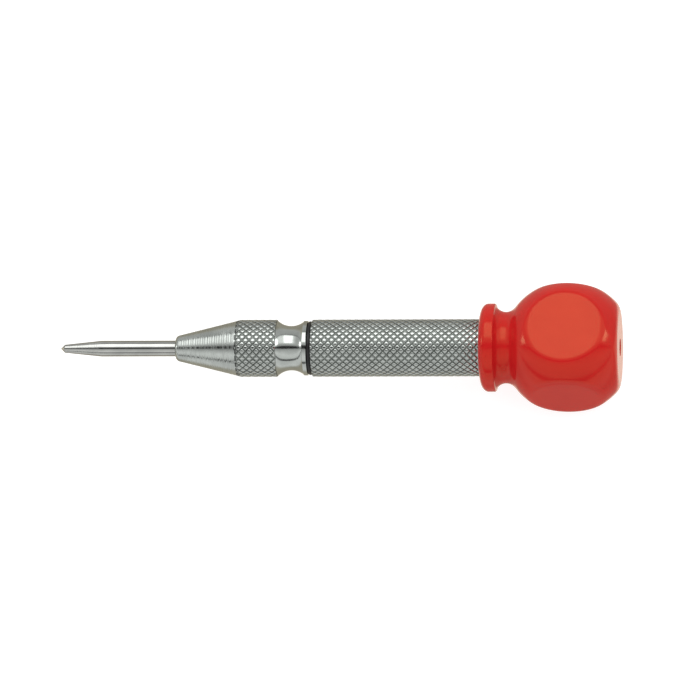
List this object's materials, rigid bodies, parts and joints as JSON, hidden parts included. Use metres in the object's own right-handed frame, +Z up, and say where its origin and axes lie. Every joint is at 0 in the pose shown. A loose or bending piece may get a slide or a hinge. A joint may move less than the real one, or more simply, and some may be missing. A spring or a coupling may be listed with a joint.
{
  "type": "automatic centre punch",
  "caption": "Spring-loaded automatic centre punch: ground steel point, turned nose, knurled barrel and a ball palm knob with flats that sets the force of the blow.",
  "frame": {"origin": "the tip of the punch point, with the point fully out", "axes": "+X along the tool's axis from the tip to the knob, +Z up; the tool lies on the flat of its knob that faces -Z, and the knob's other side flats face +Z, +Y and -Y"},
  "size_m": [0.1377, 0.0266, 0.0266],
  "materials": {
    "ground_steel": "ground and hardened",
    "chrome_plate": "bright plated over turning marks and knurl",
    "tool_steel": "turned and hardened",
    "spring_steel": "oiled wire",
    "ring_rubber": "smooth",
    "insert_brass": "turned",
    "dark_steel": "black oxide",
    "knob_plastic": "semi-gloss moulded"
  },
  "bodies": {
    "barrel": {"barrel": "chrome_plate", "nose_sleeve": "chrome_plate", "nose_ring": "ring_rubber", "trip_bush": "tool_steel", "return_spring": "spring_steel"},
    "point": {"punch_point": "ground_steel"},
    "release_pin": {"release_pin": "tool_steel"},
    "hammer": {"hammer": "tool_steel"},
    "spring_seat": {"spring_seat": "tool_steel", "thrust_ball": "ground_steel", "main_spring": "spring_steel"},
    "knob": {"knob": "knob_plastic", "knob_insert": "insert_brass", "set_screw": "dark_steel"}
  },
  "joints": [
    {"name": "point_press", "type": "slide", "parent": "barrel", "child": "point", "axis": [1, 0, 0], "range_m": [0, 0.008], "stiffness_N_per_m": 300, "springref_m": -0.012, "deforming": ["return_spring"]},
    {"name": "pin_upright", "type": "hinge", "parent": "point", "child": "release_pin", "pos_m": [0.0499, 0, 0], "axis": [0, 1, 0], "range_deg": [0, 1.88]},
    {"name": "hammer_cock", "type": "slide", "parent": "barrel", "child": "hammer", "axis": [1, 0, 0], "range_m": [0, 0.008], "deforming": ["main_spring"]},
    {"name": "seat_shift", "type": "slide", "parent": "barrel", "child": "spring_seat", "axis": [1, 0, 0], "range_m": [0, 0.004], "deforming": ["main_spring"]},
    {"name": "knob_turn", "type": "hinge", "parent": "spring_seat", "child": "knob", "pos_m": [0.1249, 0, 0], "axis": [1, 0, 0], "range_deg": [0, 1440]}
  ],
  "couplings": [
    {"joint": "pin_upright", "follows": "point_press", "rad_per_m": 4.1015},
    {"joint": "hammer_cock", "follows": "point_press", "ratio": 1},
    {"joint": "knob_turn", "follows": "seat_shift", "rad_per_m": 6283.2}
  ]
}
